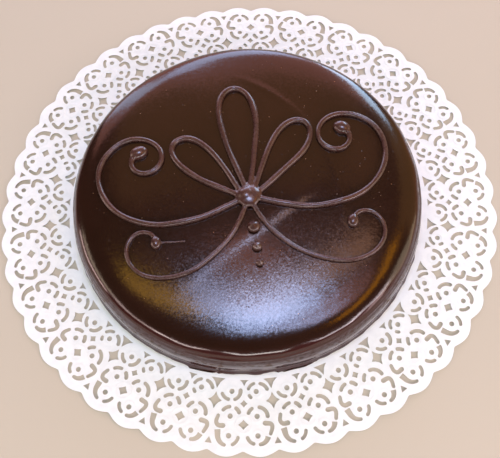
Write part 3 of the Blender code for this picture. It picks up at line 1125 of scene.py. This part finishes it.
def flourish_lines():
    """(line, closed, width at its start, width at its end), the last one a thread pulled out of a drop."""
    upper_right = pen_path(
        (0.004, -0.013),
        -24,
        ((0.046, 2, 14), (0.062, 14, 26), (0.060, 26, 44), (0.050, 44, 100), (0.018, 100, 120)),
    )
    upper_left = pen_path(
        (0.004, -0.013),
        -20,
        ((0.048, 1, 14), (0.060, 14, 26), (0.062, 26, 44), (0.048, 44, 100), (0.020, 100, 130)),
    )
    lower_right = pen_path(
        (0.002, -0.016),
        -74,
        ((0.032, 14, 12), (0.044, 12, 20), (0.036, 20, 50), (0.030, 50, 105), (0.009, 105, 130)),
    )
    lower_left = pen_path(
        (0.002, -0.016),
        -70,
        ((0.032, 16, 12), (0.042, 12, 22), (0.034, 22, 50), (0.030, 50, 105), (0.011, 105, 140)),
    )
    mirror = np.array((-1, 1))
    thread = pen_path(lower_left[-1] * mirror, -6, ((0.019, 4, -8),))
    return (
        (leaf_loop((0.0008, -0.0090), 89, 0.087, 0.024), True, LEAF_LINE, LEAF_LINE),
        (leaf_loop((0.0046, -0.0106), 50, 0.068, 0.021), True, LEAF_LINE, LEAF_LINE),
        (leaf_loop((-0.0042, -0.0104), 129, 0.064, 0.021), True, LEAF_LINE, LEAF_LINE),
        (upper_right, False, LEAF_LINE, SCROLL_LINE),
        (upper_left * mirror, False, LEAF_LINE, SCROLL_LINE),
        (lower_right, False, SCROLL_LINE, SWASH_LINE),
        (lower_left * mirror, False, SCROLL_LINE, SWASH_LINE),
        (thread, False, THREAD_LINE, 0.6 * THREAD_LINE),
    )


def askew(points):
    """The points of the upright flourish, where they end up once it is turned."""
    c, s = cos(FLOURISH_TURN), sin(FLOURISH_TURN)
    x, y = np.asarray(points, float).T
    return np.stack((x * c - y * s, x * s + y * c), axis=-1) + np.array(TORTE_MIDDLE)


lengths = [np.linalg.norm(np.diff(line[0], axis=0), axis=1).sum() for line in flourish_lines()]
print("piped lines, mm:", [round(length / MM) for length in lengths])

# %% [markdown]
# ## From paths to piped chocolate
#
# A curve object carries each path with a radius at every point, which wavers as a hand's pressure
# does and swells where the hand slows down at the end. Geometry Nodes sweep a round profile along it
# and set a drawn-out drop on the end of each open line. All of it is then melted into one skin: a voxel
# remesh joins the crossings as soft chocolate does, and a smoothing pass takes the voxels' steps away.

# %% Build the flourish
LINE_SETTLE = 0.62  # height of a line's middle over the glaze, as a share of its radius
END_SWELL, END_LENGTH = 0.22, 26 * MM
DROP_SIZE = 2.25  # times the line's radius
MELT_VOXEL = 0.50 * MM
MELT_SMOOTHING = 10


def piped_lines():
    """For each line, whether it is closed and its rows of x, y, z and radius on the cake."""
    made = []
    for number, (line, closed, width_start, width_end) in enumerate(flourish_lines()):
        line = askew(line)
        reached = np.concatenate(([0], np.cumsum(np.linalg.norm(np.diff(line, axis=0), axis=1))))
        whole = reached[-1]
        beside = np.gradient(line, axis=0)[:, ::-1] * np.array((-1, 1)) / PEN_STEP
        sway = 0.25 * MM * waves(60 + number, 5, 90 * MM, 32 * MM, reached)
        width = width_start + (width_end - width_start) * smoothstep(reached, 0, 0.8 * whole)
        pressure = 1 + 0.08 * waves(80 + number, 6, 80 * MM, 22 * MM, reached)
        if not closed:
            sway = sway * smoothstep(reached, 0, 12 * MM)
            if width_end > THREAD_LINE:
                pressure = pressure + END_SWELL * smoothstep(reached, whole - END_LENGTH, whole)
        line = line + beside * sway[:, None]
        radius = width / 2 * pressure
        height = glaze_height(*line.T) + LINE_SETTLE * radius
        made.append((closed, np.stack((*line.T, height, radius), axis=1)))
    return made


def piped_curve(lines):
    data = bpy.data.curves.new("piped_lines", "CURVE")
    data.dimensions = "3D"
    for closed, rows in lines:
        spline = data.splines.new("POLY")
        spline.points.add(len(rows) - 1)
        spline.points.foreach_set("co", np.insert(rows[:, :3], 3, 1, axis=1).ravel())
        spline.points.foreach_set("radius", rows[:, 3].copy())
        spline.use_cyclic_u = closed
    return new_object("piped_lines", data)


def piping_tree():
    inputs = (
        ("Profile Points", "NodeSocketInt"),
        ("Drop Size", "NodeSocketFloat"),
        ("Chocolate", "NodeSocketMaterial"),
    )
    tree, start, end = geometry_tree("piped_chocolate", inputs)
    radius = tree.nodes.new("GeometryNodeInputRadius")
    profile = tree.nodes.new("GeometryNodeCurvePrimitiveCircle")
    profile.inputs["Radius"].default_value = 1
    sweep = add_node(tree, "GeometryNodeCurveToMesh", Fill_Caps=True)
    wire(tree, start, "Profile Points", profile, "Resolution")
    wire(tree, start, "Geometry", sweep, "Curve")
    wire(tree, profile, "Curve", sweep, "Profile Curve")
    wire(tree, radius, "Radius", sweep, "Scale")
    ends = tree.nodes.new("GeometryNodeCurveEndpointSelection")
    ends.inputs["Start Size"].default_value = 0
    ends.inputs["End Size"].default_value = 1
    ball = tree.nodes.new("GeometryNodeMeshIcoSphere")
    ball.inputs["Subdivisions"].default_value = 3
    ball.inputs["Radius"].default_value = 1
    # a drop is longer along its line than across it, and settled a little flat
    tangent = tree.nodes.new("GeometryNodeInputTangent")
    heading = add_node(tree, "FunctionNodeAlignRotationToVector", axis="X", pivot_axis="Z")
    size = add_node(tree, "ShaderNodeMath", operation="MULTIPLY")
    shape = add_node(tree, "ShaderNodeVectorMath", operation="SCALE")
    shape.inputs[0].default_value = (1.3, 1.0, 0.74)
    drops = tree.nodes.new("GeometryNodeInstanceOnPoints")
    wire(tree, radius, "Radius", size, 0)
    wire(tree, start, "Drop Size", size, 1)
    wire(tree, size, "Value", shape, "Scale")
    wire(tree, tangent, "Tangent", heading, "Vector")
    wire(tree, start, "Geometry", drops, "Points")
    wire(tree, ends, "Selection", drops, "Selection")
    wire(tree, ball, "Mesh", drops, "Instance")
    wire(tree, heading, "Rotation", drops, "Rotation")
    wire(tree, shape, "Vector", drops, "Scale")
    both = tree.nodes.new("GeometryNodeJoinGeometry")
    realize = tree.nodes.new("GeometryNodeRealizeInstances")
    paint = tree.nodes.new("GeometryNodeSetMaterial")
    wire(tree, sweep, "Mesh", both, 0)
    wire(tree, drops, "Instances", both, 0)
    wire(tree, both, 0, realize, 0)
    wire(tree, realize, 0, paint, "Geometry")
    wire(tree, start, "Chocolate", paint, "Material")
    wire(tree, paint, "Geometry", end, "Geometry")
    return tree


def melted(swept):
    """The swept lines as one skin, with the knot that they meet in."""
    x, y = askew([KNOT_PLACE])[0]
    bm = bmesh.new()
    bm.from_mesh(swept.data)
    for dx, dy, rise, wide, tall in ((0, 0, 2.2, 8.2, 3.1), (-1.6, 1.2, 2.8, 5.6, 3.2)):
        place = (x + dx * MM, y + dy * MM, float(glaze_height(x, y)) + rise * MM)
        matrix = Matrix.Translation(place) @ Matrix.Diagonal((wide * MM, wide * MM, tall * MM, 1))
        bmesh.ops.create_icosphere(bm, subdivisions=4, radius=1, matrix=matrix)
    bm.to_mesh(swept.data)
    bm.free()
    melt = swept.modifiers.new("melt", "REMESH")
    melt.mode = "VOXEL"
    melt.voxel_size = MELT_VOXEL
    melt.use_smooth_shade = True
    soften = swept.modifiers.new("soften", "SMOOTH")
    soften.factor = 0.5
    soften.iterations = MELT_SMOOTHING
    return baked("piped_flourish_skin", swept)


# %% [markdown]
# ## Round lines again
#
# Remeshing leaves the lines a little thin and bumpy, and a line of light along a glossy strand shows
# every bump. So each point of the skin looks up the nearest point of the paths in a KD tree and moves
# to the true round of its line. Only where the chocolate ran together, at the knot and at the drops,
# the melted shape stays.

# %% Finish the flourish


def drawn_round(piece, lines):
    rows = np.vstack([rows for _, rows in lines])
    ahead = np.vstack([np.gradient(rows[:, :3], axis=0) for _, rows in lines])
    ahead /= np.linalg.norm(ahead, axis=1)[:, None]
    paths = KDTree(len(rows))
    for i, row in enumerate(rows):
        paths.insert(row[:3], i)
    paths.balance()
    skin = np.empty(len(piece.data.vertices) * 3)
    piece.data.vertices.foreach_get("co", skin)
    skin = skin.reshape(-1, 3)
    nearest = np.array([paths.find(point)[1] for point in skin])
    middle, ahead, radius = rows[nearest, :3], ahead[nearest], rows[nearest, 3:]
    along = ((skin - middle) * ahead).sum(1)[:, None]
    middle = middle + ahead * np.clip(along, -PEN_STEP / 2, PEN_STEP / 2)
    out = skin - middle
    true = middle + out / np.linalg.norm(out, axis=1)[:, None] * radius
    share = smoothstep(np.linalg.norm(skin[:, :2] - askew([KNOT_PLACE])[0], axis=1), 15 * MM, 19 * MM)
    for closed, row in ((closed, rows[-1]) for closed, rows in lines[:-1]):
        if not closed:
            reach = DROP_SIZE * row[3]
            share = share * smoothstep(np.linalg.norm(skin - row[:3], axis=1), reach + 1.5 * MM, reach + 5 * MM)
    skin += (true - skin) * share[:, None]
    piece.data.vertices.foreach_set("co", skin.ravel())
    piece.data.update()


def flourish():
    lines = piped_lines()
    sizes = {"Profile Points": 16, "Drop Size": DROP_SIZE, "Chocolate": PIPING}
    made = melted(baked("piped_swept", piped_curve(lines), piping_tree(), sizes))
    drawn_round(made, lines)
    made.data.materials.clear()
    made.data.materials.append(PIPING)
    return made


flourish_piece = flourish()
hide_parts("piped_flourish")
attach(flourish_piece, "root")
count(flourish_piece)

# %% [markdown]
# ## The loose drops
#
# Below the knot stand three separate drops, each let go with a quick lift of the bag, which leaves a
# small soft peak. A drop is a turned shape, so its profile is a short formula: a squashed ball that
# draws up into its peak, leaning a little to one side.

# %% Build the drops
DROP_ROWS, DROP_COLUMNS = 26, 40


def loose_drop(name, number):
    low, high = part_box(name)
    size = (high.x - low.x) / 2
    x0, y0 = (low.x + high.x) / 2, (low.y + high.y) / 2
    ground = float(glaze_height(x0, y0)) - 0.12 * MM
    tall = high.z - ground
    polar = np.linspace(0, pi, DROP_ROWS)[:, None]
    turn = np.linspace(0, 2 * pi, DROP_COLUMNS, endpoint=False)[None, :]
    peak = np.exp(-((polar / 0.40) ** 2))
    height = (1 + np.cos(polar)) / 2 * (1 - 0.16) + 0.16 * peak
    wide = np.sin(polar) * (1 - 0.30 * peak) * (1 + 0.03 * np.sin(2 * turn + number))
    lean = 0.22 * size * peak * np.ones_like(turn)
    points = np.stack(
        (
            x0 + size * wide * np.cos(turn) + lean * cos(2.1 * number),
            y0 + size * wide * np.sin(turn) + lean * sin(2.1 * number),
            ground + tall * height * np.ones_like(turn),
        ),
        axis=-1,
    )
    made = new_object(name + "_skin", grid_mesh(name + "_skin", points))
    made.data.materials.append(PIPING)
    made.data.shade_smooth()
    return made


for number in (1, 2, 3):
    node = f"piped_bead_{number}"
    bead = loose_drop(node, number)
    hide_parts(node)
    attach(bead, "root")
    count(bead)

# %% [markdown]
# ## Bubbles and specks in the glaze
#
# Stirring leaves small air bubbles, and some set at the surface as low round bumps that catch the
# light. Among them lie lighter specks: partly crumbs and grains of sugar that came up, partly painted
# glints that stand in for the sparks of bubbles too small to catch a lamp. Both lie anywhere on the
# dome, so Geometry Nodes scatter them: points on the faces that look up, a small ball on each,
# flattened and sized at random from a fixed seed. One tree makes both, with another seed and finish.

# %% Build the bubbles and specks


def bubble_tree():
    inputs = (
        ("Density", "NodeSocketFloat"),
        ("Smallest", "NodeSocketFloat"),
        ("Largest", "NodeSocketFloat"),
        ("Dome Radius", "NodeSocketFloat"),
        ("Seed", "NodeSocketInt"),
        ("Material", "NodeSocketMaterial"),
    )
    tree, start, end = geometry_tree("glaze_bubbles", inputs)
    place = tree.nodes.new("GeometryNodeInputPosition")
    flat = add_node(tree, "ShaderNodeVectorMath", operation="MULTIPLY")
    flat.inputs[1].default_value = (1, 1, 0)
    radius = add_node(tree, "ShaderNodeVectorMath", operation="LENGTH")
    normal = tree.nodes.new("GeometryNodeInputNormal")
    upward = tree.nodes.new("ShaderNodeSeparateXYZ")
    near = add_node(tree, "ShaderNodeMath", operation="LESS_THAN")
    looks_up = add_node(tree, "ShaderNodeMath", operation="GREATER_THAN")
    looks_up.inputs[1].default_value = 0.9
    both = add_node(tree, "ShaderNodeMath", operation="MULTIPLY")
    scatter = tree.nodes.new("GeometryNodeDistributePointsOnFaces")
    wire(tree, place, "Position", flat, 0)
    wire(tree, flat, "Vector", radius, 0)
    wire(tree, radius, "Value", near, 0)
    wire(tree, start, "Dome Radius", near, 1)
    wire(tree, normal, "Normal", upward, 0)
    wire(tree, upward, "Z", looks_up, 0)
    wire(tree, near, "Value", both, 0)
    wire(tree, looks_up, "Value", both, 1)
    wire(tree, start, "Geometry", scatter, "Mesh")
    wire(tree, both, "Value", scatter, "Selection")
    wire(tree, start, "Density", scatter, "Density")
    wire(tree, start, "Seed", scatter, "Seed")
    ball = tree.nodes.new("GeometryNodeMeshIcoSphere")
    ball.inputs["Subdivisions"].default_value = 2
    ball.inputs["Radius"].default_value = 1
    size = add_node(tree, "FunctionNodeRandomValue", data_type="FLOAT")
    tree.links.new(start.outputs["Smallest"], size.inputs[2])
    tree.links.new(start.outputs["Largest"], size.inputs[3])
    wire(tree, start, "Seed", size, "Seed")
    shape = add_node(tree, "ShaderNodeVectorMath", operation="SCALE")
    shape.inputs[0].default_value = (1, 1, 0.4)
    tree.links.new(size.outputs[1], shape.inputs["Scale"])
    bubbles = tree.nodes.new("GeometryNodeInstanceOnPoints")
    realize = tree.nodes.new("GeometryNodeRealizeInstances")
    paint = tree.nodes.new("GeometryNodeSetMaterial")
    wire(tree, scatter, "Points", bubbles, "Points")
    wire(tree, ball, "Mesh", bubbles, "Instance")
    wire(tree, scatter, "Rotation", bubbles, "Rotation")
    wire(tree, shape, "Vector", bubbles, "Scale")
    wire(tree, bubbles, "Instances", realize, "Geometry")
    wire(tree, realize, "Geometry", paint, "Geometry")
    wire(tree, start, "Material", paint, "Material")
    wire(tree, paint, "Geometry", end, "Geometry")
    return tree


def scattered(name, material, density, smallest, largest, seed):
    sizes = {
        "Density": density,
        "Smallest": smallest,
        "Largest": largest,
        "Dome Radius": 108 * MM,
        "Seed": seed,
        "Material": material,
    }
    skin = new_object("dome_copy", torte_piece.data.copy())
    made = baked(name, skin, bubble_tree(), sizes)
    made.data.shade_smooth()
    return made


bubble_piece = scattered("glaze_bubbles", GLAZE, 3000.0, 0.2 * MM, 0.5 * MM, 4)
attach(bubble_piece, "root")
count(bubble_piece)

# light specks: partly crumbs and sugar, partly painted glints in place of tiny bubbles' sparks
speck_and_glint_piece = scattered("crumb_specks_and_glints", SPECK_AND_GLINT, 3400.0, 0.15 * MM, 0.36 * MM, 9)
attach(speck_and_glint_piece, "root")
count(speck_and_glint_piece)

# %% [markdown]
# ## The floor and the light
#
# The floor is plain and pale, a shade warmer than the paper, so that the lace reads against it. A
# glossy dark glaze shows its surroundings rather than its own colour, so the lights are placed by what
# they do in it: a large one overhead gives the haze on the front of the dome, two low ones behind give
# the sheen on the far shoulder, and soft ones at the sides and in front light the paper and the side.

# %% Stage


def floor_material():
    made, tree, shader, place = new_material("floor")
    shader.inputs["Base Color"].default_value = (0.56, 0.49, 0.41, 1)
    shader.inputs["Roughness"].default_value = 0.9
    shader.inputs["Specular IOR Level"].default_value = 0.1
    return made


bpy.ops.mesh.primitive_plane_add(size=6, location=(0, 0, -0.1 * MM))
floor = bpy.context.active_object
floor.name = "floor"
floor.data.materials.append(floor_material())


STAGE_MIDDLE = Vector((0, -0.01, 0.03))
LAMP_DISTANCE = 1.35
LAMPS = {
    # name: lean from straight above, to +X and to +Y; width and height; roll, all in degrees; glow
    "window": ((2.3, 3.5), (18, 9), 36, (6.6, 8.7, 14.4)),
    "window_wide": ((2.1, 3.4), (26, 8.5), 158, (5.2, 5.7, 9.0)),
    "window_back": ((0.0, 16.0), (9, 7), 0, (2.3, 0.79, 0.47)),
    "window_right": ((18.0, 2.0), (10, 9), 0, (2.2, 0.9, 0.7)),
    "blind": ((9.6, 11.0), (25, 6), 22, (3.2, 1.6, 0.95)),
    "ceiling": ((0.0, 38.5), (46, 23), 0, (0.51, 0.24, 0.09)),
    "gold": ((-17.6, 6.6), (18, 5.5), 163, (4.2, 2.2, 0.3)),
    "amber": ((31.5, -4.8), (30, 9), 68, (3.5, 1.25, 0.02)),
    "back_right": ((38.5, 66.0), (36, 10), 107, (5.3, 7.4, 10.2)),
    "back_mid": ((0.0, 74.9), (36, 16), 46, (2.1, 3.2, 5.1)),
    "back_left": ((-34.0, 63.8), (25, 11.5), 123, (1.6, 2.6, 3.9)),
    "back_wall": ((-6.8, 73.0), (67, 49), -1, (1.5, 0.59, 0.47)),
    "left_low": ((-80.0, 0.0), (26, 10), 90, (7.1, 5.0, 4.7)),
    "left": ((-64.0, 0.0), (26, 10), 90, (3.6, 2.8, 2.1)),
    "left_near": ((-55.4, -32.0), (26, 10), -37, (5.0, 3.8, 3.5)),
    "front_left": ((-38.0, -51.0), (24, 8), -18, (9.7, 8.0, 7.6)),
    "front": ((0.0, -64.0), (26, 8), 0, (11.9, 11.1, 10.7)),
    "front_right": ((40.0, -50.0), (24, 12), 18, (8.7, 7.5, 7.9)),
    "right_near": ((56.0, -34.0), (24, 12), 37, (6.0, 5.0, 5.4)),
    "right_low": ((69.3, -40.0), (26, 10), 90, (4.0, 2.9, 2.9)),
    "right": ((72.0, -9.9), (30, 30), 104, (2.1, 1.7, 1.2)),
    "right_wall": ((63.0, 33.4), (60, 45), 26, (0.59, 0.30, 0.09)),
}


def softbox(name, lean, size, roll, glow):
    """A rectangular lamp that faces the cake; glow is its radiance in red, green and blue."""
    away, turn = radians(hypot(*lean)), atan2(lean[1], lean[0])
    out = Vector((sin(away) * cos(turn), sin(away) * sin(turn), cos(away)))
    level = (Vector((1, 0, 0)) - out * out.x).normalized()
    across = level * cos(radians(roll)) + out.cross(level) * sin(radians(roll))
    turned = Matrix((across, out.cross(across), out)).transposed().to_4x4()
    data = bpy.data.lights.new(name, "AREA")
    data.shape = "RECTANGLE"
    data.size, data.size_y = (2 * LAMP_DISTANCE * tan(radians(side) / 2) for side in size)
    data.energy = max(glow) * pi * data.size * data.size_y
    data.color = [part / max(glow) for part in glow]
    made = new_object(name, data)
    made.matrix_world = Matrix.Translation(STAGE_MIDDLE + out * LAMP_DISTANCE) @ turned
    return made


for name, (lean, size, roll, glow) in LAMPS.items():
    softbox(name, lean, size, roll, glow)
fill = softbox("fill", (-6, -8), (80, 80), 0, (0.05, 0.36, 0.2))
fill.visible_glossy = False  # it lights the paper, and the glaze doesn't mirror it

world = bpy.data.worlds.new("room")
world.use_nodes = True
world.node_tree.nodes["Background"].inputs["Color"].default_value = (1.0, 0.82, 0.68, 1)
world.node_tree.nodes["Background"].inputs["Strength"].default_value = 0.03
bpy.context.scene.world = world
bpy.context.scene.view_settings.view_transform = "Standard"
